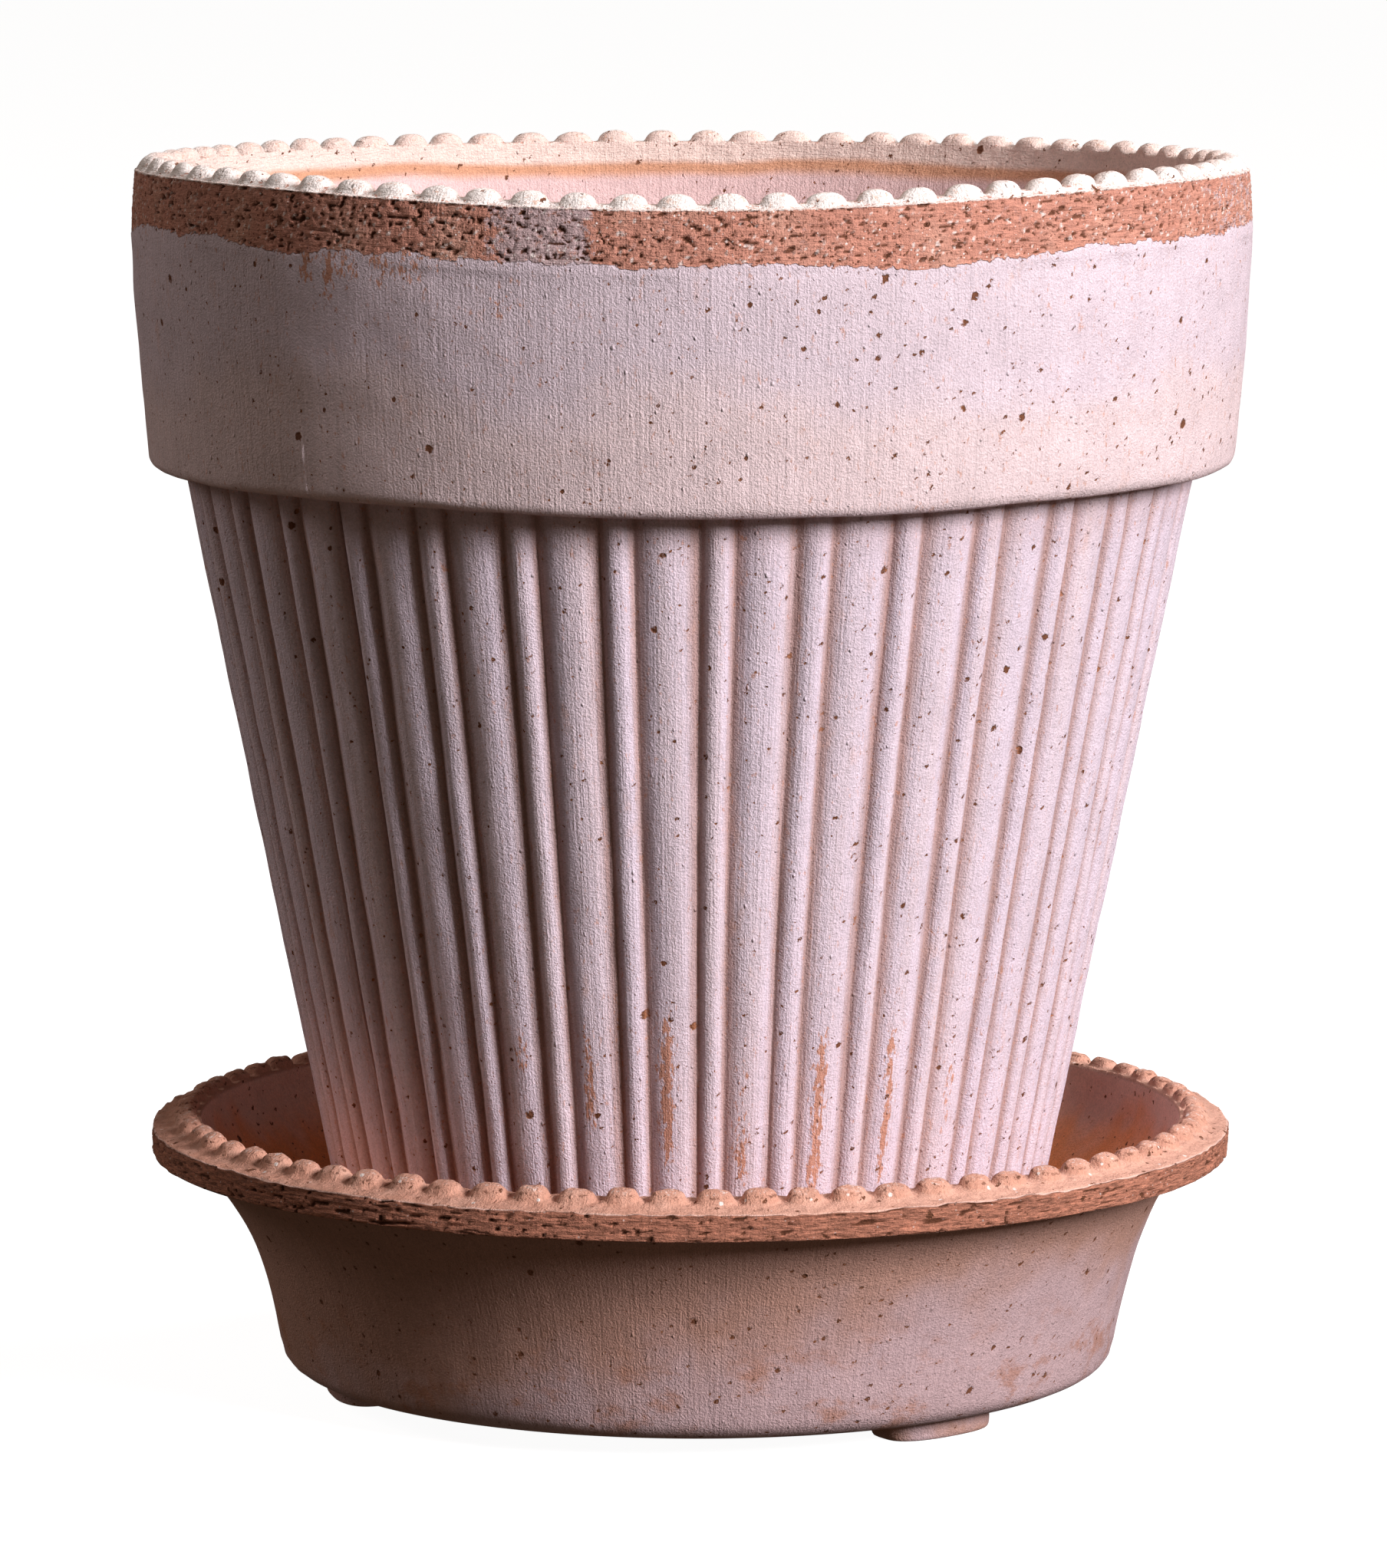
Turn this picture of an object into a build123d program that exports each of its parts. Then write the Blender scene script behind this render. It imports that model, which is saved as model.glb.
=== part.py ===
from build123d import *
import os

# A fluted terracotta pot with a beaded rim, standing in its footed, beaded saucer.
# Height 0 is the underside of the saucer's feet, and Z is the axis of both pieces.

# Pot
POT_BASE_HEIGHT = 8.0
POT_BASE_RADIUS = 52.95
POT_BASE_CHAMFER = 1.5
POT_FLOOR_HEIGHT = 16.0
DRAIN_HOLE_RADIUS = 9.0
BODY_TOP_HEIGHT = 154.0
BODY_TOP_RADIUS = 82.35
INNER_BASE_RADIUS = 46.5
INNER_FLOOR_FILLET = 7.0

# Flutes, measured at the top of the body. Two grooves stand close together, with a
# narrow rib between them, and a wide rib follows before the next two.
FLUTE_PAIRS = 33
FIRST_RIB_ANGLE = -86.8
NARROW_RIB_ANGLE = 3.9
GROOVE_RADIUS = 1.05
GROOVE_DEPTH = 1.4
GROOVE_EDGE_RADIUS = 0.75

# Collar, its coarse upper band, and the rim
COLLAR_BASE_HEIGHT = 151.3
COLLAR_BASE_RADIUS = 87.8
COLLAR_CORNER = 2.7
COLLAR_CORNER_TURN = 85
COLLAR_WIDEST_RADIUS = 90.5
COLLAR_ROOT_RADIUS = 72.0
BAND_BASE_HEIGHT = 190.6
BAND_STEP = 0.3
RIM_RADIUS = 90.0
RIM_EDGE_HEIGHT = 199.5
RIM_SHOULDER_WIDTH = 2.3
RIM_TOP_HEIGHT = 200.2
MOUTH_RADIUS = 84.4
MOUTH_EDGE_BREAK = 0.6
CREASE_HEIGHT = 195.2
CREASE_RADIUS = 83.6
CREASE_STEP = 0.6

# Saucer
SAUCER_UNDERSIDE = 3.0
SAUCER_FLOOR_HEIGHT = POT_BASE_HEIGHT
SAUCER_BASE_RADIUS = 60.5
SAUCER_FLOOR_RADIUS = 56.5
FLANGE_RADIUS = 87.7
FLANGE_LOWER_HEIGHT = 39.8
FLANGE_UPPER_HEIGHT = 43.3
SAUCER_LIP_RADIUS = 80.0
SAUCER_LIP_HEIGHT = 44.8

# Beads round both rims
BEAD_COUNT = 72
BEAD_RADIUS = 2.5
RIM_BEAD_CIRCLE = 87.0
RIM_BEAD_TOP = 202.0
SAUCER_BEAD_CIRCLE = 82.4
SAUCER_BEAD_TOP = 46.4

# Feet
FOOT_OUTER_RADIUS = SAUCER_BASE_RADIUS
FOOT_INNER_RADIUS = 49.5
FOOT_SPAN = 21.2
FOOT_EDGE_RADIUS = 1.5
FOOT_ANGLES = {"foot_right": -48.0, "foot_back": 72.0, "foot_left": 192.0}

# Small break on the outer rim edges, and how far a cut runs past the surface it cuts
EDGE_BREAK = 0.4
CUT_MARGIN = 5.0


# Pot. The body is lofted between two sizes of one grooved section, so every groove
# narrows and grows shallower towards the base.
with BuildPart() as pot:
    for height, radius in (
        (POT_BASE_HEIGHT, POT_BASE_RADIUS),
        (BODY_TOP_HEIGHT, BODY_TOP_RADIUS),
    ):
        size = radius / BODY_TOP_RADIUS
        groove_circle = radius + (GROOVE_RADIUS - GROOVE_DEPTH) * size
        with BuildSketch(Plane.XY.offset(height)) as fluted_section:
            Circle(radius)
            for side in (-1, 1):
                first_groove = FIRST_RIB_ANGLE + side * NARROW_RIB_ANGLE / 2
                with PolarLocations(groove_circle, FLUTE_PAIRS, start_angle=first_groove):
                    Circle(GROOVE_RADIUS * size, mode=Mode.SUBTRACT)
            fillet(fluted_section.vertices(), GROOVE_EDGE_RADIUS * size)
    loft(ruled=True)

    # The thick collar with its coarse band, and the sloping rim above it
    with BuildSketch(Plane.XZ):
        with BuildLine():
            underside = Line(
                (COLLAR_ROOT_RADIUS, COLLAR_BASE_HEIGHT),
                (COLLAR_BASE_RADIUS - COLLAR_CORNER, COLLAR_BASE_HEIGHT),
            )
            corner = JernArc(underside @ 1, underside % 1, COLLAR_CORNER, COLLAR_CORNER_TURN)
            flare = Spline(
                corner @ 1,
                (89.4, 171.0),
                (90.14, 181.0),
                (COLLAR_WIDEST_RADIUS, BAND_BASE_HEIGHT),
                tangents=(corner % 1, (0, 1)),
            )
            Polyline(
                flare @ 1,
                (COLLAR_WIDEST_RADIUS - BAND_STEP, BAND_BASE_HEIGHT + BAND_STEP),
                (RIM_RADIUS, RIM_EDGE_HEIGHT - EDGE_BREAK),
                (RIM_RADIUS - EDGE_BREAK, RIM_EDGE_HEIGHT),
                (RIM_RADIUS - RIM_SHOULDER_WIDTH, RIM_TOP_HEIGHT),
                (COLLAR_ROOT_RADIUS, RIM_TOP_HEIGHT),
                underside @ 0,
            )
        make_face()
    revolve(axis=Axis.Z)

    # The inside, with the crease that runs round it just below the mouth
    with BuildSketch(Plane.XZ) as inside_section:
        with BuildLine():
            Polyline(
                (0, RIM_TOP_HEIGHT + CUT_MARGIN),
                (0, POT_FLOOR_HEIGHT),
                (INNER_BASE_RADIUS, POT_FLOOR_HEIGHT),
                (CREASE_RADIUS - CREASE_STEP, CREASE_HEIGHT - CREASE_STEP),
                (CREASE_RADIUS, CREASE_HEIGHT),
                (MOUTH_RADIUS, RIM_TOP_HEIGHT - MOUTH_EDGE_BREAK),
                (MOUTH_RADIUS + MOUTH_EDGE_BREAK, RIM_TOP_HEIGHT),
                (MOUTH_RADIUS + MOUTH_EDGE_BREAK, RIM_TOP_HEIGHT + CUT_MARGIN),
                close=True,
            )
        make_face()
        floor_point = (INNER_BASE_RADIUS, 0, POT_FLOOR_HEIGHT)
        floor_corner = inside_section.vertices().sort_by_distance(floor_point)[0]
        fillet(floor_corner, INNER_FLOOR_FILLET)
    revolve(axis=Axis.Z, mode=Mode.SUBTRACT)

    # The outer edge of the base is broken all round
    with BuildSketch(Plane.XZ):
        with BuildLine():
            Polyline(
                (POT_BASE_RADIUS - POT_BASE_CHAMFER, POT_BASE_HEIGHT),
                (POT_BASE_RADIUS + CUT_MARGIN, POT_BASE_HEIGHT),
                (POT_BASE_RADIUS + CUT_MARGIN, POT_BASE_HEIGHT + POT_BASE_CHAMFER + CUT_MARGIN),
                close=True,
            )
        make_face()
    revolve(axis=Axis.Z, mode=Mode.SUBTRACT)

    with Locations((0, 0, POT_FLOOR_HEIGHT)):
        Hole(DRAIN_HOLE_RADIUS)

    with Locations((0, 0, RIM_BEAD_TOP - BEAD_RADIUS)):
        with PolarLocations(RIM_BEAD_CIRCLE, BEAD_COUNT):
            Sphere(BEAD_RADIUS)


# Saucer. The wall flares into a flange, whose top slopes up to the ring of beads.
with BuildPart() as saucer:
    with BuildSketch(Plane.XZ):
        with BuildLine():
            underside = Line((0, SAUCER_UNDERSIDE), (SAUCER_BASE_RADIUS, SAUCER_UNDERSIDE))
            outer_wall = Spline(
                underside @ 1,
                (65.8, 3.9),
                (68.3, 7.5),
                (70.0, 15.1),
                (73.5, 25.3),
                (77.6, 31.0),
                (82.6, 36.2),
                (FLANGE_RADIUS - 2 * EDGE_BREAK, FLANGE_LOWER_HEIGHT),
                tangents=(underside % 1, (1, 0.35)),
            )
            flange = Polyline(
                outer_wall @ 1,
                (FLANGE_RADIUS, FLANGE_LOWER_HEIGHT + EDGE_BREAK),
                (FLANGE_RADIUS, FLANGE_UPPER_HEIGHT - EDGE_BREAK),
                (FLANGE_RADIUS - EDGE_BREAK, FLANGE_UPPER_HEIGHT),
                (SAUCER_LIP_RADIUS + EDGE_BREAK, SAUCER_LIP_HEIGHT),
                (SAUCER_LIP_RADIUS, SAUCER_LIP_HEIGHT - EDGE_BREAK),
            )
            inner_wall = Spline(
                flange @ 1,
                (78.2, 39.5),
                (72.0, 30.5),
                (66.8, 21.5),
                (64.4, 13.5),
                (61.4, 9.2),
                (SAUCER_FLOOR_RADIUS, SAUCER_FLOOR_HEIGHT),
                tangents=((-0.2, -1), (-1, 0)),
            )
            Polyline(inner_wall @ 1, (0, SAUCER_FLOOR_HEIGHT), underside @ 0)
        make_face()
    revolve(axis=Axis.Z)

    with Locations((0, 0, SAUCER_BEAD_TOP - BEAD_RADIUS)):
        with PolarLocations(SAUCER_BEAD_CIRCLE, BEAD_COUNT):
            Sphere(BEAD_RADIUS)


os.makedirs("parts", exist_ok=True)
pot.part.label = "pot"
export_step(pot.part, "parts/pot.step")
saucer.part.label = "saucer"
export_step(saucer.part, "parts/saucer.step")


# Feet. Each is a short curved pad under the saucer, with its corners and lower edges
# rounded.
for name, angle in FOOT_ANGLES.items():
    with BuildPart() as foot:
        with BuildSketch(Plane.XZ.rotated((0, 0, angle - FOOT_SPAN / 2))):
            with Locations(((FOOT_INNER_RADIUS + FOOT_OUTER_RADIUS) / 2, SAUCER_UNDERSIDE / 2)):
                Rectangle(FOOT_OUTER_RADIUS - FOOT_INNER_RADIUS, SAUCER_UNDERSIDE)
        revolve(axis=Axis.Z, revolution_arc=FOOT_SPAN)
        fillet(foot.edges().filter_by(Axis.Z), FOOT_EDGE_RADIUS)
        fillet(foot.faces().sort_by(Axis.Z)[0].edges(), FOOT_EDGE_RADIUS)
    foot.part.label = name
    export_step(foot.part, f"parts/{name}.step")
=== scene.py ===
import math

import bpy
import numpy as np
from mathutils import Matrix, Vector


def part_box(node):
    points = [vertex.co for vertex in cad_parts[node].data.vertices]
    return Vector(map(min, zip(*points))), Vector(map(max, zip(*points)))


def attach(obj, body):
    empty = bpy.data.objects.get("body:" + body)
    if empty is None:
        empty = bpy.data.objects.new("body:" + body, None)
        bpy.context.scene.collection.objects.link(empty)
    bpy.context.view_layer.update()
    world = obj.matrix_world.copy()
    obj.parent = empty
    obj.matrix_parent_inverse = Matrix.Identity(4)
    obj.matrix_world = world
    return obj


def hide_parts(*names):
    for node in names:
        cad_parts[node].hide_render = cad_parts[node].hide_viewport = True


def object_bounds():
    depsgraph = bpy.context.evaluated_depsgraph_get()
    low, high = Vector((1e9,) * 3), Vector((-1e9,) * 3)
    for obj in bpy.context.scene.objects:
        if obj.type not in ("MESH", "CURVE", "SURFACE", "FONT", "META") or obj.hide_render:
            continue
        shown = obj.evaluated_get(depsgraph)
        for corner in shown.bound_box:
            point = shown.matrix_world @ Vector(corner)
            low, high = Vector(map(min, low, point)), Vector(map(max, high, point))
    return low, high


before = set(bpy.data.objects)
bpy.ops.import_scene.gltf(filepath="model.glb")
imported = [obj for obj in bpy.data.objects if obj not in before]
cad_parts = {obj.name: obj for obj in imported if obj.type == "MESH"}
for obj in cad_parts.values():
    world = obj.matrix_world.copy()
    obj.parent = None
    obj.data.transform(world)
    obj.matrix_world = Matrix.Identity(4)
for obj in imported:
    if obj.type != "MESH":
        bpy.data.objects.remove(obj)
cad_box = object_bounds()

# Meshes are worked out in millimetres, with azimuth 0 at the front (-Y) and growing
# towards +X, and written to Blender in metres.
MM = 0.001

pot_low, pot_high = (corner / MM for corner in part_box("pot"))
saucer_low, saucer_high = (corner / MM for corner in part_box("saucer"))

# Pot
POT_BASE = pot_low.z
RIM_EDGE = pot_high.z - 2.5
RIM_RADIUS = 89.9
BAND_BASE = RIM_EDGE - 8.6
COLLAR_BASE = 151.5
COLLAR_WIDEST = pot_high.x - 0.1
COLLAR_WIDEST_HEIGHT = 189.0
BODY_SLOPE = 0.2013
BODY_BASE_RADIUS = 52.95
FLOOR_TOP = POT_BASE + 8.0
HOLE_RADIUS = 9.0
MOUTH_RADIUS = 84.4
CREASE_DROP = 3.4
INNER_BASE_RADIUS = 46.5
RIM_BEADS = 72
FLUTE_PAIRS = 33
FLUTE_PITCH = 360.0 / FLUTE_PAIRS
FIRST_RIB = 3.0
NARROW_RIB = 3.9
GROOVE_DEPTH = 1.9

# The body stands a little to the left under its rim, and the saucer's foot to the right
# under its flange
BODY_SHIFT = (-0.4, 0.0)
FOOT_SHIFT = (0.9, 0.0)
FLANGE_SHIFT = (-0.25, 0.0)

# Saucer
FLANGE_RADIUS = saucer_high.x
SAUCER_UNDERSIDE = saucer_low.z
SAUCER_FLOOR = POT_BASE
FLANGE_LOW = 39.1
FLANGE_HIGH = 43.3
SAUCER_BEADS = 72

# Feet
FOOT_INNER_RADIUS = 49.6
FOOT_OUTER_RADIUS = 61.4
FOOT_SPAN = 21.4

# Columns round each ring: a multiple of the bead count on both rims, and of the flute
# count on the body
FIRST_COLUMN = FIRST_RIB - NARROW_RIB / 2
RIM_COLUMNS = RIM_BEADS * 22
NARROW_COLUMNS = 13
WIDE_COLUMNS = 23
BODY_COLUMNS = FLUTE_PAIRS * (NARROW_COLUMNS + WIDE_COLUMNS)
INNER_COLUMNS = 396
WALL_COLUMNS = 792
COARSE_COLUMNS = 264
FOOT_COLUMNS = 96

# Stand for "far off" in the layers that hold a height over the band's edge or a depth
# under the inner crease
FAR_BELOW = -30.0
FAR_ABOVE = 20.0


# ---------------------------------------------------------------- number helpers

def smooth_noise(shape, blur, seed):
    """A random field of unit spread, blurred by (rows, columns) samples, seamless all round."""
    grain = np.random.default_rng(seed).standard_normal(shape)
    row = np.fft.fftfreq(shape[0])[:, None] * blur[0]
    column = np.fft.rfftfreq(shape[1])[None, :] * blur[1]
    falloff = np.exp(-2 * np.pi**2 * (row**2 + column**2))
    field = np.fft.irfft2(np.fft.rfft2(grain) * falloff, s=shape)
    return field / field.std()


def smooth_ring(count, blur, seed):
    """The same for one ring of values."""
    return smooth_noise((1, count), (0, blur), seed)[0]


def ease(value, low, high):
    """0 below low, 1 above high, and a smooth rise between."""
    t = np.clip((value - low) / (high - low), 0, 1)
    return t * t * (3 - 2 * t)


def uniform_ring(count, start):
    return start + np.arange(count) * 360.0 / count


# ---------------------------------------------------------------- mesh builder

class Skin:
    """A closed surface made of rings of points. Each patch is a grid of rings with one
    column count, its layers hold a value for each point, and neighbouring patches with
    different counts are stitched."""

    def __init__(self, name):
        self.name = name
        self.points = []
        self.faces = []
        self.layers = {}
        self.count = 0
        self.first_ring = None
        self.last_ring = None

    def patch(self, azimuth, radius, height, offset=(0, 0), **layers):
        """Adds a grid of rings above or inside the last one, set aside by the offset."""
        azimuth, radius, height = np.broadcast_arrays(azimuth, radius, height)
        rows, columns = radius.shape
        turn = np.radians(azimuth)
        points = np.stack(
            [
                radius * np.sin(turn) + offset[0],
                -radius * np.cos(turn) + offset[1],
                height,
            ],
            axis=-1,
        )
        index = self.count + np.arange(rows * columns).reshape(rows, columns)
        if self.last_ring is None:
            self.first_ring = (index[0], azimuth[0])
        else:
            self.stitch(*self.last_ring, index[0], azimuth[0])
        right = np.roll(index, -1, axis=1)
        quads = np.stack([index[:-1], right[:-1], right[1:], index[1:]], axis=-1)
        self.faces.extend(quads.reshape(-1, 4).tolist())
        self.points.append(points.reshape(-1, 3))
        for key, value in layers.items():
            store = self.layers.setdefault(key, [])
            flat = np.broadcast_to(value, (rows, columns)).ravel()
            store.append((self.count, flat))
        self.count += rows * columns
        self.last_ring = (index[-1], azimuth[-1])

    def stitch(self, lower, lower_azimuth, upper, upper_azimuth):
        """Joins two rings, with quads if their counts match and with triangles if not."""
        if len(lower) == len(upper):
            near, far = np.roll(lower, -1), np.roll(upper, -1)
            self.faces.extend(np.stack([lower, near, far, upper], axis=-1).tolist())
            return
        low_turns = np.append(lower_azimuth, lower_azimuth[0] + 360)
        high_turns = np.append(upper_azimuth, upper_azimuth[0] + 360)
        lower, upper = np.append(lower, lower[0]), np.append(upper, upper[0])
        i = j = 0
        while i < len(lower) - 1 or j < len(upper) - 1:
            lower_done = i == len(lower) - 1
            upper_done = j == len(upper) - 1
            if upper_done or (not lower_done and low_turns[i + 1] <= high_turns[j + 1]):
                self.faces.append([int(lower[i]), int(lower[i + 1]), int(upper[j])])
                i += 1
            else:
                self.faces.append([int(lower[i]), int(upper[j + 1]), int(upper[j])])
                j += 1

    def pole(self, height, at_start=False):
        """Closes the surface on the axis, before the first ring or after the last."""
        ring = (self.first_ring if at_start else self.last_ring)[0]
        self.points.append(np.array([[0.0, 0.0, height]]))
        for a, b in zip(ring, np.roll(ring, -1)):
            fan = [self.count, int(b), int(a)] if at_start else [int(a), int(b), self.count]
            self.faces.append(fan)
        self.count += 1

    def join_ends(self):
        """Closes the surface by joining its last ring to its first."""
        self.stitch(*self.last_ring, *self.first_ring)

    def build(self, body, node, material):
        """The finished piece, with each layer as an attribute of its points."""
        mesh = bpy.data.meshes.new(self.name)
        mesh.from_pydata((np.concatenate(self.points) * MM).tolist(), [], self.faces)
        for key, stores in self.layers.items():
            values = np.zeros(self.count, np.float32)
            for start, flat in stores:
                values[start : start + len(flat)] = flat
            mesh.attributes.new(key, "FLOAT", "POINT").data.foreach_set("value", values)
        add_piece(mesh, body, node, material)


def add_piece(mesh, body, node, material):
    """Puts a finished mesh into the scene in the place of one CAD node."""
    mesh.polygons.foreach_set("use_smooth", np.ones(len(mesh.polygons), bool))
    mesh.materials.append(material)
    piece = bpy.data.objects.new(mesh.name, mesh)
    bpy.context.scene.collection.objects.link(piece)
    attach(piece, body)
    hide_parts(node)


# ---------------------------------------------------------------- pot

def rim_sag(azimuth):
    """How far the fired rim has sagged below its highest part: it dips at the front and
    the back and stands high at both sides."""
    turn = np.radians(azimuth)
    warp = 1.17 * np.cos(turn) - 0.73 * np.cos(2 * turn)
    warp = warp - 0.63 * np.cos(3 * turn) - 0.26 * np.cos(4 * turn)
    return 0.75 * (1.7 - warp)


def sag_share(height):
    """The share of the rim's sag that is felt lower down the pot."""
    return np.interp(height, [60.0, COLLAR_BASE, BAND_BASE], [0.0, 0.45, 1.0])


def collar_radius(height):
    below = np.clip((COLLAR_WIDEST_HEIGHT - height) / 38.0, 0, None)
    above = np.clip((height - COLLAR_WIDEST_HEIGHT) / 10.5, 0, None)
    return COLLAR_WIDEST - 2.9 * below**1.35 - 0.6 * above**1.5


def body_radius(height):
    return BODY_BASE_RADIUS + BODY_SLOPE * (height - POT_BASE)


def out_of_round(azimuth, height):
    """Slow hand-made unevenness of the turned form."""
    turn = np.radians(azimuth)
    oval = 0.10 * np.cos(2 * turn + 0.9) + 0.06 * np.cos(3 * turn - 0.5 + height * 0.012)
    return oval - 0.12


def flute_columns():
    """Azimuth of each column of one pair from its narrow rib, and where it stands across
    its own rib, from -1 to 1. Columns crowd together towards the grooves."""
    narrow = (0.0, NARROW_RIB / 2, NARROW_COLUMNS)
    broad = (FLUTE_PITCH / 2, (FLUTE_PITCH - NARROW_RIB) / 2, WIDE_COLUMNS)
    azimuth, across = [], []
    for middle, half, count in (narrow, broad):
        even = np.linspace(-1, 1, count, endpoint=False)
        place = 0.72 * even + 0.28 * np.sin(np.pi / 2 * even)
        azimuth.append(middle + half * place)
        across.append(place)
    return np.concatenate(azimuth), np.concatenate(across)


def rib_section(across):
    """Height of a rib over its grooves, from 0 to 1: round on top, with the sharp crease
    beside it filled in a little."""
    edge = np.abs(across)
    filling = 0.16 * np.exp(-(((1 - edge) / 0.16) ** 2))
    return 1 - edge**2.3 + filling


def body_levels():
    """Heights of the body's rings, close together at the worn lower edge."""
    levels = np.concatenate([[0.0, 0.35, 1.1, 2.2], np.arange(4.5, 140.0, 2.9), [141.5, 142.6]])
    tall = COLLAR_BASE - 0.2 - POT_BASE
    return POT_BASE + levels / levels[-1] * tall


def pot_body(skin):
    """Alternate wide and narrow ribs that run up under the collar."""
    columns = flute_columns()
    pairs = np.repeat(np.arange(FLUTE_PAIRS), len(columns[0]))
    local, across = (np.tile(column, FLUTE_PAIRS) for column in columns)
    height = body_levels()[:, None]
    rows = len(height)
    shape = (rows, BODY_COLUMNS)
    drift = 0.16 * smooth_noise((rows, FLUTE_PAIRS), (9, 0.8), 11)
    azimuth = FIRST_RIB + pairs * FLUTE_PITCH + local + drift[:, pairs]
    uneven = 1 + 0.10 * smooth_noise((rows, FLUTE_PAIRS * 2), (12, 0.3), 12)
    depth = GROOVE_DEPTH * uneven[:, pairs * 2]
    taper = body_radius(height) / body_radius(COLLAR_BASE)
    lumps = 0.05 * smooth_noise(shape, (1.3, 5), 13)
    lumps += 0.03 * smooth_noise(shape, (0.5, 1.2), 14)
    radius = body_radius(height) + 0.1 - depth * (1 - rib_section(across)) * taper
    radius = radius + lumps + out_of_round(azimuth, height)
    worn_edge = np.array([1.5, 0.75, 0.2])
    radius[: len(worn_edge)] -= worn_edge[:, None]
    skin.patch(
        azimuth,
        radius,
        height - rim_sag(azimuth) * sag_share(height),
        offset=BODY_SHIFT,
        groove=np.abs(across) * np.ones((rows, 1)),
        stain=rust_stains(azimuth, height),
        bare=FAR_BELOW,
    )
    return azimuth[-1]


def pot_collar(skin, rib_azimuth):
    """A flat underside, a rounded lower corner and a wall that swells upwards. Its columns
    leave the ribs' azimuths below for even steps above."""
    corner = 1.9
    bend = np.radians(np.linspace(0, 90, 8))[:, None]
    corner_radius = collar_radius(COLLAR_BASE + corner) - corner * (1 - np.sin(bend))
    corner_height = COLLAR_BASE + corner * (1 - np.cos(bend))
    wall = np.linspace(COLLAR_BASE + corner + 1.3, BAND_BASE - 1.7, 24)[:, None]
    root = body_radius(COLLAR_BASE)
    ledge = root + np.array([[0.2], [1.2], [2.2]])
    radius = np.concatenate([ledge, corner_radius, collar_radius(wall)])
    height = np.concatenate([np.full_like(ledge, COLLAR_BASE), corner_height, wall])
    shape = (len(height), BODY_COLUMNS)
    even = uniform_ring(BODY_COLUMNS, FIRST_COLUMN)
    turn = ease(height, COLLAR_BASE + 6.0, BAND_BASE - 8.0)
    azimuth = rib_azimuth * (1 - turn) + even * turn

    lumps = 0.07 * smooth_noise(shape, (2.0, 14), 21) + 0.035 * smooth_noise(shape, (1.0, 4), 22)
    ripple = 0.12 * smooth_ring(BODY_COLUMNS, 30, 23) + 0.05 * smooth_ring(BODY_COLUMNS, 6, 24)
    lower = ease(height, COLLAR_BASE + 9.0, COLLAR_BASE)
    outer = ease(radius, root + 1.0, root + 3.5)
    z = height - rim_sag(azimuth) * sag_share(height) + ripple * lower * outer
    radius = radius + (out_of_round(azimuth, height) + lumps) * outer
    skin.patch(azimuth, radius, z, bare=height - BAND_BASE, stain=band_drips(azimuth, height))


def pot_inside(skin):
    """Inner wall, rounded corner, floor, drain hole and underside."""
    crease_height = RIM_EDGE - CREASE_DROP
    wall_height = np.linspace(crease_height - 1.4, FLOOR_TOP + 8.0, 26)
    slope = (MOUTH_RADIUS - 1.15 - INNER_BASE_RADIUS) / (crease_height - FLOOR_TOP)
    wall_radius = INNER_BASE_RADIUS + slope * (wall_height - FLOOR_TOP)
    fillet = 7.0
    bend = np.radians(np.linspace(10, 90, 7))
    bend_radius = INNER_BASE_RADIUS + 0.9 - fillet * (1 - np.cos(bend))
    bend_height = FLOOR_TOP + fillet * (1 - np.sin(bend))
    floor_hole_and_base = np.array(
        [
            (30.0, FLOOR_TOP),
            (18.0, FLOOR_TOP),
            (11.0, FLOOR_TOP - 0.1),
            (HOLE_RADIUS + 0.9, FLOOR_TOP - 0.3),
            (HOLE_RADIUS + 0.2, FLOOR_TOP - 1.0),
            (HOLE_RADIUS, FLOOR_TOP - 2.2),
            (HOLE_RADIUS, POT_BASE + 2.0),
            (HOLE_RADIUS + 0.3, POT_BASE + 0.6),
            (HOLE_RADIUS + 1.0, POT_BASE + 0.05),
            (20.0, POT_BASE),
            (36.0, POT_BASE),
            (BODY_BASE_RADIUS - 3.2, POT_BASE),
        ]
    )
    radius = np.concatenate([wall_radius, bend_radius, floor_hole_and_base[:, 0]])[:, None]
    height = np.concatenate([wall_height, bend_height, floor_hole_and_base[:, 1]])[:, None]
    rows = len(radius)
    azimuth = uniform_ring(INNER_COLUMNS, FIRST_COLUMN)
    rings = 0.10 * np.random.default_rng(31).standard_normal((rows, 1))
    throwing = rings + 0.08 * smooth_noise((rows, INNER_COLUMNS), (1, 10), 32)
    on_wall = radius > INNER_BASE_RADIUS - 1.5
    sag = rim_sag(azimuth) * sag_share(height) * (radius > INNER_BASE_RADIUS)
    skin.patch(
        azimuth,
        radius + throwing * on_wall,
        height - sag,
        bare=FAR_BELOW,
        inside=1.0,
        depth=crease_height - height,
    )


def build_pot(material):
    skin = Skin("pot_clay")
    rib_azimuth = pot_body(skin)
    pot_collar(skin, rib_azimuth)
    band_and_rim(skin)
    pot_inside(skin)
    skin.join_ends()
    skin.build("pot", "pot", material)


# ---------------------------------------------------------------- the pot's band and rim

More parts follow.
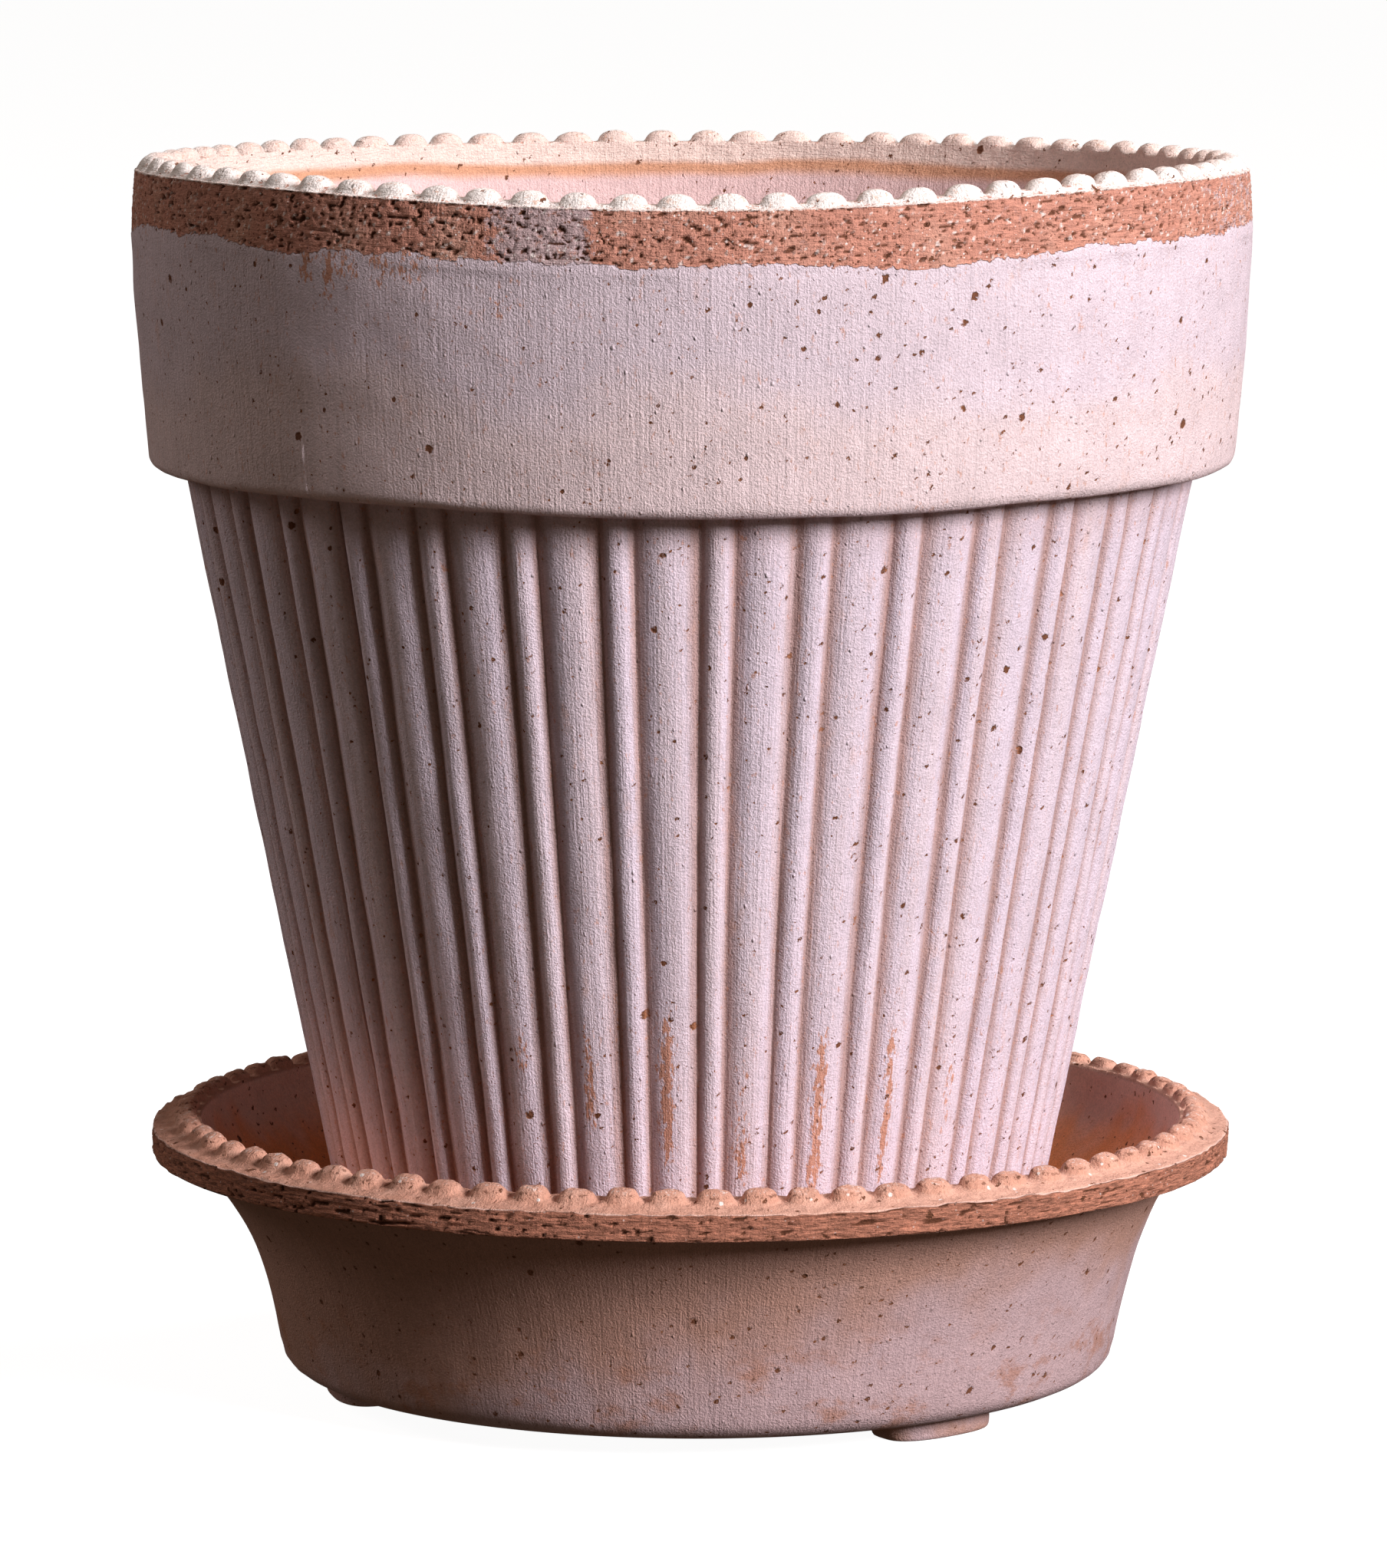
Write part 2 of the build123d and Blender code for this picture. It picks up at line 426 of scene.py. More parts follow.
def rim_outline():
    """Rings of the coarse band, its shoulder, the sloping rim and the lip inside, as radius
    and height, with a mark on those of the band and on those of the rim's top."""
    band = np.arange(BAND_BASE - 1.4, RIM_EDGE - 0.25, 0.33)
    shoulder = np.array(
        [
            (RIM_RADIUS - 0.02, RIM_EDGE - 0.12),
            (RIM_RADIUS - 0.12, RIM_EDGE),
            (RIM_RADIUS - 0.32, RIM_EDGE + 0.08),
        ]
    )
    top_radius = np.concatenate([np.arange(89.25, 85.2, -0.29), np.arange(85.1, 84.45, -0.14)])
    top_height = RIM_EDGE + 0.08 + 0.5 * ease(-top_radius, -89.3, -87.4)
    lip = np.array(
        [
            (MOUTH_RADIUS - 0.02, RIM_EDGE + 0.25),
            (MOUTH_RADIUS - 0.05, RIM_EDGE - 0.2),
            (MOUTH_RADIUS - 0.15, RIM_EDGE - 0.8),
            (MOUTH_RADIUS - 0.30, RIM_EDGE - 1.6),
            (MOUTH_RADIUS - 0.50, RIM_EDGE - 2.5),
            (MOUTH_RADIUS - 0.72, RIM_EDGE - CREASE_DROP + 0.2),
            (MOUTH_RADIUS - 0.98, RIM_EDGE - CREASE_DROP - 0.5),
        ]
    )
    radius = np.concatenate([collar_radius(band), shoulder[:, 0], top_radius, lip[:, 0]])
    height = np.concatenate([band, shoulder[:, 1], top_height, lip[:, 1]])
    on_band = np.zeros_like(radius)
    on_band[: len(band) + 1] = 1.0
    first_top = len(band) + len(shoulder) - 1
    on_top = np.zeros_like(radius)
    on_top[first_top : first_top + 1 + len(top_radius)] = 1.0
    return tuple(column[:, None] for column in (radius, height, on_band, on_top))


def band_face(shape):
    """The torn and pitted face of the coarse band: how deep it is cut, and its pale grains
    of grog."""
    torn = ease(smooth_noise(shape, (0.40, 1.3), 44), 1.25, 1.9)
    nick = ease(smooth_noise(shape, (0.50, 0.50), 45), 1.30, 2.0)
    scratch = ease(smooth_noise(shape, (0.40, 8), 46), 1.55, 2.3)
    grog = ease(smooth_noise(shape, (0.50, 0.50), 47), 1.55, 2.3)
    grain = smooth_noise(shape, (0.45, 0.6), 48)
    hollow = np.clip(torn * 0.62 + nick * 0.55 + scratch * 0.30, 0, 0.8)
    return hollow, grog, 0.10 * grog + 0.05 * grain - hollow - 0.06


def bead_columns(azimuth, start, count, shift, ring_radius):
    """The bead that each column belongs to, and its distance along the rim from that
    bead's middle."""
    pitch = 360.0 / count
    place = (azimuth - start) / pitch
    bead = np.floor(place).astype(int) % count
    return bead, (place % 1 - 0.5 - shift[bead]) * math.radians(pitch) * ring_radius


def rim_beads(azimuth, radius):
    """Round beads, each with its own size and set a little off its mark."""
    spread = np.random.default_rng(50).uniform(-1, 1, (6, RIM_BEADS))
    middle = 86.75
    bead, along = bead_columns(azimuth, FIRST_COLUMN, RIM_BEADS, 0.05 * spread[0], middle - 0.05)
    half_along = (2.95 + 0.20 * spread[1])[bead]
    half_across = (2.45 + 0.12 * spread[2])[bead]
    centre = (middle + 0.15 * spread[3])[bead]
    tall = (1.62 + 0.12 * spread[4])[bead]
    oval = np.abs(along / half_along) ** 2.2 + np.abs((radius - centre) / half_across) ** 2.3
    dome = tall * np.clip(1 - oval, 0, 1) ** 0.55
    return dome + 0.12 * ease(-oval, -1.5, -0.9)


def band_and_rim(skin):
    """The coarse bare band with its torn pits, the sloping rim with its beads, and the
    pale lip inside."""
    radius, height, on_band, on_top = rim_outline()
    shape = (len(radius), RIM_COLUMNS)
    azimuth = uniform_ring(RIM_COLUMNS, FIRST_COLUMN)[None, :]
    on_lip = (1 - on_band) * (1 - on_top)

    # The slip ends in a ragged line, above which the bare face is set a little back
    edge = BAND_BASE + 0.42 * smooth_ring(RIM_COLUMNS, 26, 41)
    edge = edge + 0.22 * smooth_ring(RIM_COLUMNS, 6, 42) + 0.10 * smooth_ring(RIM_COLUMNS, 1.6, 43)
    above_edge = height - edge
    bare = ease(above_edge, -0.1, 0.35) * on_band
    hollow, grog, cut = band_face(shape)
    radius = radius + cut * bare
    shed = ease(height, RIM_EDGE - 0.9, RIM_EDGE - 0.1) * on_band
    radius = radius - shed * np.clip(0.08 + 0.10 * smooth_noise(shape, (2, 1.6), 49), 0, 0.4)

    dome = rim_beads(azimuth, radius)
    worn = 0.035 * smooth_noise(shape, (1.2, 1.6), 51)
    sunk = 0.10 * ease(smooth_noise(shape, (1.0, 1.5), 52), 1.9, 2.8)
    height = height + (dome + worn - sunk) * on_top
    radius = radius + 0.05 * smooth_noise(shape, (1.2, 3), 53) * on_lip
    radius = radius + out_of_round(azimuth, height)
    below_shoulder = on_band * ease(RIM_EDGE - 0.05 - height, 0, 0.15)
    skin.patch(
        azimuth,
        radius,
        height - rim_sag(azimuth),
        bare=np.where(on_band > 0, above_edge, FAR_ABOVE),
        hollow=np.clip(hollow * 1.5, 0, 1) * bare,
        grog=grog * bare,
        salt=salt_patch(azimuth) * np.ones_like(height),
        cream=np.clip(1 - below_shoulder, 0, 1),
        bead=dome / 1.8 * on_top,
        depth=np.where(on_lip > 0, RIM_EDGE - CREASE_DROP - height, -FAR_ABOVE),
        inside=on_lip,
        stain=band_drips(azimuth, height),
    )


def salt_patch(azimuth):
    """The grey-lilac patches where the slip was wiped up over the band."""
    place = (azimuth + 180) % 360 - 180
    front = ease(place, -21.5, -17.8) * ease(-place, 8.0, 11.2)
    back = ease(place, 118.0, 122.0) * ease(-place, -139.0, -134.0)
    right = 0.35 * ease(np.abs(place - 74), 14, 4) * (place > 50)
    return front + back + right


def smears(azimuth, height, runs):
    """Soft vertical smears on the wall, added up, each given as its azimuth, lowest and
    highest height, half its width in degrees and its strength."""
    total = 0.0
    for centre, low, high, half_width, strength in runs:
        across = np.exp(-(((azimuth - centre + 180) % 360 - 180) / half_width) ** 2)
        along = ease(height, low - 3, low + 2) * ease(-height, -high - 4, -high + 4)
        total = total + strength * across * along
    return total


def rust_stains(azimuth, height):
    """Iron-coloured runs low on the wide ribs, mostly at the front."""
    runs = [
        (-24.4, 61, 66, 0.9, 0.9),
        (-14.3, 53, 67, 0.75, 1.0),
        (-3.2, 48, 69, 0.95, 1.3),
        (7.6, 44, 53, 0.9, 0.8),
        (7.4, 58, 64, 0.8, 0.4),
        (18.8, 42, 66, 0.75, 1.2),
        (29.5, 60, 68, 0.6, 1.0),
        (30.0, 43, 58, 0.6, 1.1),
        (41.0, 50, 62, 0.7, 0.5),
        (150.0, 38, 58, 1.2, 1.0),
        (172.0, 40, 52, 1.0, 0.8),
        (205.0, 36, 60, 1.1, 1.0),
        (237.0, 44, 56, 1.0, 0.8),
    ]
    return smears(azimuth, height, runs)


def band_drips(azimuth, height):
    """Brown runs and smudges under the band."""
    top = BAND_BASE + 1
    runs = [
        (-41.0, 186, top, 0.9, 0.9),
        (-38.2, 184, top, 0.5, 0.9),
        (-35.8, 187, top, 1.6, 0.8),
        (-32.0, 186, top, 0.8, 0.8),
        (-28.5, 188, top, 2.4, 0.8),
        (-18.6, 184, 186, 1.8, 0.55),
        (95.0, 186, top, 1.5, 0.8),
        (131.0, 184, top, 0.8, 0.8),
        (160.0, 187, top, 2.6, 0.8),
        (228.0, 185, top, 1.2, 0.9),
    ]
    return smears(azimuth, height, runs)


# ---------------------------------------------------------------- saucer

def saucer_outline():
    """Outer wall as (radius, height): a rounded foot, a wall that leans out, then a cove that
    sweeps out under the flange."""
    bend = np.radians(np.linspace(0, 90, 7))
    foot_radius = 60.5 + 7.4 * np.sin(bend)
    foot_height = SAUCER_UNDERSIDE + 4.2 * (1 - np.cos(bend))
    height = np.concatenate([np.linspace(8.4, 35.6, 15), [37.0, 38.0]])
    rise = height - 6.4
    radius = 67.9 + 0.19 * rise + 6.4 * (rise / 31.7) ** 3.1
    return np.concatenate([foot_radius, radius]), np.concatenate([foot_height, height])


def saucer_wall(skin):
    """The underside and the outer wall, shifted a little towards its foot."""
    coarse = uniform_ring(COARSE_COLUMNS, 0.0)
    underside = np.array([8.0, 20.0, 34.0, 48.0, 58.0])[:, None]
    skin.patch(coarse, underside, SAUCER_UNDERSIDE, offset=FOOT_SHIFT)
    skin.pole(SAUCER_UNDERSIDE, at_start=True)
    radius, height = (column[:, None] for column in saucer_outline())
    shape = (len(radius), WALL_COLUMNS)
    lumps = 0.06 * smooth_noise(shape, (2, 12), 61) + 0.03 * smooth_noise(shape, (0.8, 3), 62)
    shift = FOOT_SHIFT[0] * ease(-height, -38.0, -22.0)
    above_foot = height > SAUCER_UNDERSIDE + 2.0
    azimuth = uniform_ring(WALL_COLUMNS, 0.0)
    skin.patch(azimuth, radius + lumps * above_foot, height, offset=(shift, FOOT_SHIFT[1]))


def saucer_inside(skin):
    """The inner wall and the floor that the pot stands on."""
    drop = np.linspace(0, 1, 16)[1:, None]
    top = 42.2
    height = top - drop * (top - SAUCER_FLOOR - 0.6)
    depth = np.clip((top - height) / 34.0, 0, 1)
    radius = 79.3 - 1.2 * depth - 12.8 * ease(depth, 0.02, 0.62) * (1 - 0.15 * depth)
    radius = radius - 3.0 * ease(depth, 0.80, 1.02)
    turning = 0.05 * smooth_noise((len(radius), WALL_COLUMNS), (1, 8), 63)
    skin.patch(uniform_ring(WALL_COLUMNS, 0.0), radius + turning, height, inside=1.0)
    floor_radius = np.array([59.0, 56.0, 44.0, 30.0, 16.0, 7.0])[:, None]
    floor_height = np.full_like(floor_radius, SAUCER_FLOOR - 0.02)
    floor_height[0] += 0.15
    skin.patch(uniform_ring(COARSE_COLUMNS, 0.0), floor_radius, floor_height, inside=1.0)
    skin.pole(SAUCER_FLOOR - 0.02)


def flange_outline():
    """Rings of the flange's underside, ground edge, worn corner, sloping top and lip, as
    radius and height, with a mark on those below, on the edge and on top."""
    under = np.array(
        [
            (81.2, FLANGE_LOW - 0.65),
            (83.4, FLANGE_LOW - 0.45),
            (86.2, FLANGE_LOW - 0.30),
            (87.2, FLANGE_LOW - 0.10),
            (87.5, FLANGE_LOW),
        ]
    )
    edge_height = np.arange(FLANGE_LOW + 0.2, FLANGE_HIGH - 0.1, 0.27)
    edge_radius = np.full_like(edge_height, FLANGE_RADIUS + 0.05)
    corner = np.array(
        [(FLANGE_RADIUS - 0.1, FLANGE_HIGH), (FLANGE_RADIUS - 0.5, FLANGE_HIGH + 0.12)]
    )
    top_radius = np.concatenate([np.arange(86.8, 80.6, -0.31), np.arange(80.5, 79.8, -0.16)])
    top_height = FLANGE_HIGH + 0.15 + 1.35 * ease(-top_radius, -87.6, -81.0)
    lip = np.array([(79.72, 44.1), (79.6, 43.5), (79.45, 42.7)])
    radius = np.concatenate([under[:, 0], edge_radius, corner[:, 0], top_radius, lip[:, 0]])
    height = np.concatenate([under[:, 1], edge_height, corner[:, 1], top_height, lip[:, 1]])
    last_edge = len(under) + len(edge_height)
    below, on_edge, on_top = (np.zeros_like(radius) for _ in range(3))
    below[: len(under)] = 1.0
    on_edge[len(under) - 1 : last_edge] = 1.0
    on_top[last_edge + 1 : last_edge + 2 + len(top_radius)] = 1.0
    return tuple(column[:, None] for column in (radius, height, below, on_edge, on_top))


def saucer_beads(azimuth, radius, shape):
    """Beads worn nearly flat: each a broad cone with a low cap on it."""
    spread = np.random.default_rng(77).uniform(-1, 1, (6, SAUCER_BEADS))
    middle = 82.25
    bead, along = bead_columns(azimuth, 0.0, SAUCER_BEADS, 0.06 * spread[0], middle + 0.05)
    out = radius - (middle + 0.2 * spread[1])[bead]
    stretch = np.where(out > 0, 3.0, 2.3)
    cone = np.sqrt(np.abs(along / 3.6) ** 2 + np.abs(out / stretch) ** 2)
    broad = 0.62 * ease(-cone, -1.0, -0.35)
    half_along = (2.65 + 0.25 * spread[2])[bead]
    cap = np.abs(along / half_along) ** 3 + np.abs(out / 1.95) ** 2.8
    cap_height = (1.0 + 0.16 * spread[3])[bead]
    worn_cap = cap_height * np.clip(1 - cap, 0, 1) ** 0.26
    rough = 0.07 * smooth_noise(shape, (1.0, 1.5), 78)
    dent = 0.16 * ease(smooth_noise(shape, (1.6, 2.4), 79), 1.6, 2.6)
    valley = 0.20 * ease(np.abs(along), 2.6, 3.6) * ease(-np.abs(out), -2.4, -1.0)
    return broad + worn_cap, rough - dent - valley


def saucer_flange(skin):
    """The flange with its torn, fibrous edge, its worn beads and its lip."""
    radius, height, below, on_edge, on_top = flange_outline()
    shape = (len(radius), RIM_COLUMNS)
    azimuth = uniform_ring(RIM_COLUMNS, 0.0)[None, :]

    torn = ease(smooth_noise(shape, (0.5, 3.0), 71), 1.1, 2.0)
    nick = ease(smooth_noise(shape, (0.6, 0.8), 72), 1.4, 2.1)
    fibre = smooth_noise(shape, (0.42, 5), 73)
    hollow = np.clip(0.40 * torn + 0.42 * nick, 0, 0.6)
    radius = radius + (-0.08 - hollow + 0.10 * fibre) * on_edge
    ragged = 0.10 * smooth_noise(shape, (2, 2.2), 74) + 0.10 * smooth_noise(shape, (2, 12), 75)
    near_corner = ease(-np.abs(height - FLANGE_HIGH), -0.7, 0.0) * (1 - on_top)
    height = height + ragged * near_corner
    chipped = ease(smooth_noise(shape, (2, 3), 76), 1.7, 2.5) * near_corner
    radius = radius - 0.35 * chipped

    beads, wear = saucer_beads(azimuth, radius, shape)
    height = height + (beads + wear) * on_top
    skin.patch(
        azimuth,
        radius,
        height,
        offset=FLANGE_SHIFT,
        edge=on_edge,
        hollow=hollow * 1.8 * on_edge,
        top=on_top,
        bead=beads / 1.62 * on_top,
        inside=np.clip(1 - on_edge - on_top - below, 0, 1) * (height > 42.0),
    )


def build_saucer(material):
    skin = Skin("saucer_clay")
    saucer_wall(skin)
    saucer_flange(skin)
    saucer_inside(skin)
    skin.build("saucer", "saucer", material)


# ---------------------------------------------------------------- feet

def foot_levels(top):
    """Heights of a foot's rings with the share of its outline at each, worn round below."""
    return [
        (top, 1.0),
        (top - 0.5, 0.99),
        (1.4, 0.985),
        (0.8, 0.975),
        (0.4, 0.96),
        (0.12, 0.93),
        (0.0, 0.89),
        (0.0, 0.6),
        (0.0, 0.25),
    ]


def build_foot(node, material, seed):
    """A short curved pad of clay with rounded corners, pressed on under the saucer."""
    low, high = (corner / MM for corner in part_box(node))
    middle = (low + high) / 2
    azimuth = math.degrees(math.atan2(middle.x, -middle.y))
    half_span = FOOT_SPAN / 2
    half_width = (FOOT_OUTER_RADIUS - FOOT_INNER_RADIUS) / 2
    ring_radius = (FOOT_INNER_RADIUS + FOOT_OUTER_RADIUS) / 2
    levels = foot_levels(high.z + 0.02)
    turn = np.linspace(0, 2 * np.pi, FOOT_COLUMNS, endpoint=False)
    squareness = 3.2
    power = np.abs(np.cos(turn)) ** squareness + np.abs(np.sin(turn)) ** squareness
    across, along = power ** (-1 / squareness) * np.array([np.cos(turn), np.sin(turn)])
    rough = smooth_noise((len(levels), FOOT_COLUMNS), (1, 4), seed)
    points = []
    for (z, size), uneven in zip(levels, rough):
        grow = size * (1 + 0.008 * uneven)
        radius = ring_radius + half_width * across * grow
        angle = np.radians(azimuth + half_span * along * (1 - (1 - grow) * 0.55))
        x, y = radius * np.sin(angle) + FOOT_SHIFT[0], -radius * np.cos(angle)
        points.append(np.stack([x, y, np.full(FOOT_COLUMNS, z)], axis=-1))
    index = np.arange(len(levels) * FOOT_COLUMNS).reshape(len(levels), FOOT_COLUMNS)
    right = np.roll(index, -1, axis=1)
    sides = np.stack([index[:-1], index[1:], right[1:], right[:-1]], axis=-1)
    faces = sides.reshape(-1, 4).tolist() + [index[-1][::-1].tolist(), index[0].tolist()]
    mesh = bpy.data.meshes.new(node + "_clay")
    mesh.from_pydata((np.concatenate(points) * MM).tolist(), [], faces)
    add_piece(mesh, "saucer", node, material)


# ---------------------------------------------------------------- shader nodes

class Nodes:
    """A material, with short names for the shader nodes that it is made of. Lengths are
    in mm; aside is the distance to the right of the axis."""

    def __init__(self, name):
        self.material = bpy.data.materials.new(name)
        self.material.use_nodes = True
        self.nodes = self.material.node_tree.nodes
        self.links = self.material.node_tree.links
        self.shader = self.nodes["Principled BSDF"]
        place = self.add("ShaderNodeTexCoord").outputs["Object"]
        self.place = self.vector("MULTIPLY", place, (1 / MM, 1 / MM, 1 / MM))
        apart = self.add("ShaderNodeSeparateXYZ")
        self.feed(apart.inputs[0], self.place)
        self.aside = apart.outputs["X"]
        self.height = apart.outputs["Z"]

    def add(self, kind, **settings):
        node = self.nodes.new(kind)
        for key, value in settings.items():
            setattr(node, key, value)
        return node

    def feed(self, socket, value):
        if isinstance(value, bpy.types.NodeSocket):
            self.links.new(value, socket)
        else:
            socket.default_value = value

    def math(self, operation, *values):
        node = self.add("ShaderNodeMath", operation=operation)
        for socket, value in zip(node.inputs, values):
            self.feed(socket, value)
        return node.outputs[0]

    def vector(self, operation, *values):
        node = self.add("ShaderNodeVectorMath", operation=operation)
        for socket, value in zip(node.inputs, values):
            self.feed(socket, value)
        return node.outputs["Vector"]

    def wrapped(self, along):
        """The place with its distance from the axis set to one value, so that texture runs
        straight down a tapered wall. Heights are scaled by along."""
        flat = self.vector("NORMALIZE", self.vector("MULTIPLY", self.place, (1, 1, 0)))
        ring = self.vector("MULTIPLY", flat, (80, 80, 0))
        return self.vector("ADD", ring, self.vector("MULTIPLY", self.place, (0, 0, along)))

    def noise(self, place, size, detail=2.0, roughness=0.5):
        node = self.add("ShaderNodeTexNoise")
        self.feed(node.inputs["Vector"], place)
        node.inputs["Scale"].default_value = 1 / size
        node.inputs["Detail"].default_value = detail
        node.inputs["Roughness"].default_value = roughness
        return node.outputs["Fac"]

    def spots(self, place, size, share, radius, soft=0.35):
        """Scattered round spots: one in each Voronoi cell of that size, in a share of the
        cells, each with its own radius."""
        node = self.add("ShaderNodeTexVoronoi")
        self.feed(node.inputs["Vector"], place)
        node.inputs["Scale"].default_value = 1 / size
        apart = self.add("ShaderNodeSeparateColor")
        self.feed(apart.inputs[0], node.outputs["Color"])
        chosen = self.math("LESS_THAN", apart.outputs[0], share)
        own = self.math("MULTIPLY_ADD", apart.outputs[1], 0.75, 0.35)
        reach = self.times(own, radius / size)
        inside = self.span(node.outputs["Distance"], reach, self.times(reach, 1 - soft))
        return self.times(inside, chosen)

    def layer(self, name):
        """A value that the mesh holds for each point."""
        return self.add("ShaderNodeAttribute", attribute_name=name).outputs["Fac"]

    def span(self, value, low, high, to_low=0.0, to_high=1.0):
        """Smooth change from to_low to to_high as the value goes from low to high."""
        node = self.add("ShaderNodeMapRange", interpolation_type="SMOOTHSTEP")
        for socket, number in zip(node.inputs, (value, low, high, to_low, to_high)):
            self.feed(socket, number)
        return node.outputs[0]

    def mix(self, factor, a, b):
        node = self.add("ShaderNodeMix", data_type="RGBA")
        self.feed(node.inputs[0], factor)
        self.feed(node.inputs[6], a)
        self.feed(node.inputs[7], b)
        return node.outputs[2]

    def shade(self, colour, value):
        """The colour times a number."""
        if isinstance(colour, tuple):
            colour = colour[:3]
        return self.vector("MULTIPLY", colour, self.grey(value))

    def grey(self, value):
        node = self.add("ShaderNodeCombineXYZ")
        for socket in node.inputs:
            self.feed(socket, value)
        return node.outputs[0]

    def plus(self, a, b):
        return self.math("ADD", a, b)

    def times(self, a, b):
        return self.math("MULTIPLY", a, b)

    def most(self, a, b):
        return self.math("MAXIMUM", a, b)

    def distance(self):
        """Distance from the axis."""
        flat = self.vector("MULTIPLY", self.place, (1, 1, 0))
        node = self.add("ShaderNodeVectorMath", operation="LENGTH")
        self.feed(node.inputs[0], flat)
        return node.outputs["Value"]

    def bump(self, relief):
        """Relief in mm."""
        node = self.add("ShaderNodeBump")
        node.inputs["Strength"].default_value = 1.0
        node.inputs["Distance"].default_value = MM
        self.feed(node.inputs["Height"], relief)
        return node.outputs["Normal"]


def rgb(red, green, blue):
    return (red, green, blue, 1.0)


# Colours of the clay as it shows in light, in linear values
LILAC_SLIP = rgb(0.64, 0.52, 0.57)
PEACH_SLIP = rgb(0.68, 0.53, 0.54)
BODY_SLIP = rgb(0.665, 0.55, 0.63)
# Worn warm slip, darkened to serve also as painted shade in the grooves and under the collar
BODY_WORN_AND_SHADE = rgb(0.43, 0.275, 0.26)
BARE_CLAY = rgb(0.53, 0.235, 0.17)
# Pale clay, also painted light between the saucer's beads on the right
PALE_CLAY_AND_PAINTED_LIGHT = rgb(0.64, 0.36, 0.275)
GREY_SALT = rgb(0.50, 0.375, 0.39)
PIT_BROWN = rgb(0.13, 0.045, 0.022)
SPECK_BROWN = rgb(0.36, 0.145, 0.075)
RUST = rgb(0.52, 0.20, 0.09)
CREAM = rgb(0.87, 0.775, 0.735)
# Peach of the inner lip, also painted shade on the inner sides of the rim's beads
PEACH_LIP_AND_BEAD_SHADE = rgb(0.80, 0.61, 0.545)
CREASE_ORANGE = rgb(0.60, 0.29, 0.17)
INNER_PINK = rgb(0.68, 0.47, 0.46)
SAUCER_SLIP = rgb(0.48, 0.33, 0.34)
# Brown of the upper outer wall, carried higher on the left as painted shade
SAUCER_BROWN = rgb(0.415, 0.23, 0.18)
SAUCER_EDGE = rgb(0.48, 0.195, 0.125)
SAUCER_TOP = rgb(0.56, 0.28, 0.20)
SAUCER_INSIDE = rgb(0.86, 0.31, 0.12)
SAUCER_LIP = rgb(0.76, 0.48, 0.40)
SALT_WHITE = rgb(0.82, 0.77, 0.74)


def clay_specks(clay, share=0.5):
    """Brown iron specks and burnt-out pores: many tiny ones, few large ones. The share is
    how many of the possible places hold one."""
    fray = clay.times(clay.noise(clay.place, 0.7, detail=3, roughness=0.7), 1.7)
    frayed = clay.vector("ADD", clay.place, clay.grey(fray))
    fine = clay.spots(frayed, size=1.5, share=0.55, radius=0.28)
    medium = clay.spots(frayed, size=2.8, share=share, radius=0.45)
    large = clay.spots(frayed, size=7.0, share=share, radius=0.82)
    return clay.most(clay.times(fine, 0.8), clay.most(medium, large))


def finish_clay(clay, colour, relief, specks):
    """The grain, pores and dry surface that every piece of this clay has, with painted shade
    in the low parts of the grain and lumps. The relief is in mm."""
    grain = clay.noise(clay.place, 0.36, detail=2, roughness=0.7)
    lumpy = clay.noise(clay.place, 1.3, detail=3, roughness=0.65)
    mottle = clay.noise(clay.place, 9, detail=3, roughness=0.6)
    # Painted shade: the colour darkens where the grain and lumps, which also make the relief, are
    # low; the mottle is the clay's own tone.
    tone = clay.times(
        clay.span(grain, 0.3, 0.7, 0.89, 1.09),
        clay.span(lumpy, 0.3, 0.7, 0.96, 1.04),
    )
    tone = clay.times(tone, clay.span(mottle, 0.3, 0.7, 0.96, 1.04))
    colour = clay.shade(colour, tone)
    colour = clay.mix(clay.span(specks, 0.0, 0.5), colour, SPECK_BROWN)
    colour = clay.mix(clay.span(specks, 0.60, 1.0, 0, 0.85), colour, PIT_BROWN)
    clay.feed(clay.shader.inputs["Base Color"], colour)
    clay.feed(clay.shader.inputs["Roughness"], clay.span(mottle, 0.2, 0.8, 0.80, 0.96))
    clay.shader.inputs["Specular IOR Level"].default_value = 0.25
    relief = clay.plus(relief, clay.times(grain, 0.28))
    relief = clay.plus(relief, clay.times(lumpy, 0.14))
    relief = clay.plus(relief, clay.times(specks, -0.30))
    clay.feed(clay.shader.inputs["Normal"], clay.bump(relief))
    return clay.material


def rust_mask(clay):
    """The stain layer broken into specks and streaks."""
    broken = clay.noise(clay.wrapped(0.45), 0.8, detail=4, roughness=0.7)
    rust = clay.plus(clay.layer("stain"), clay.span(broken, 0.3, 0.7, -1.10, 0.30))
    return clay.span(rust, 0.08, 0.42)


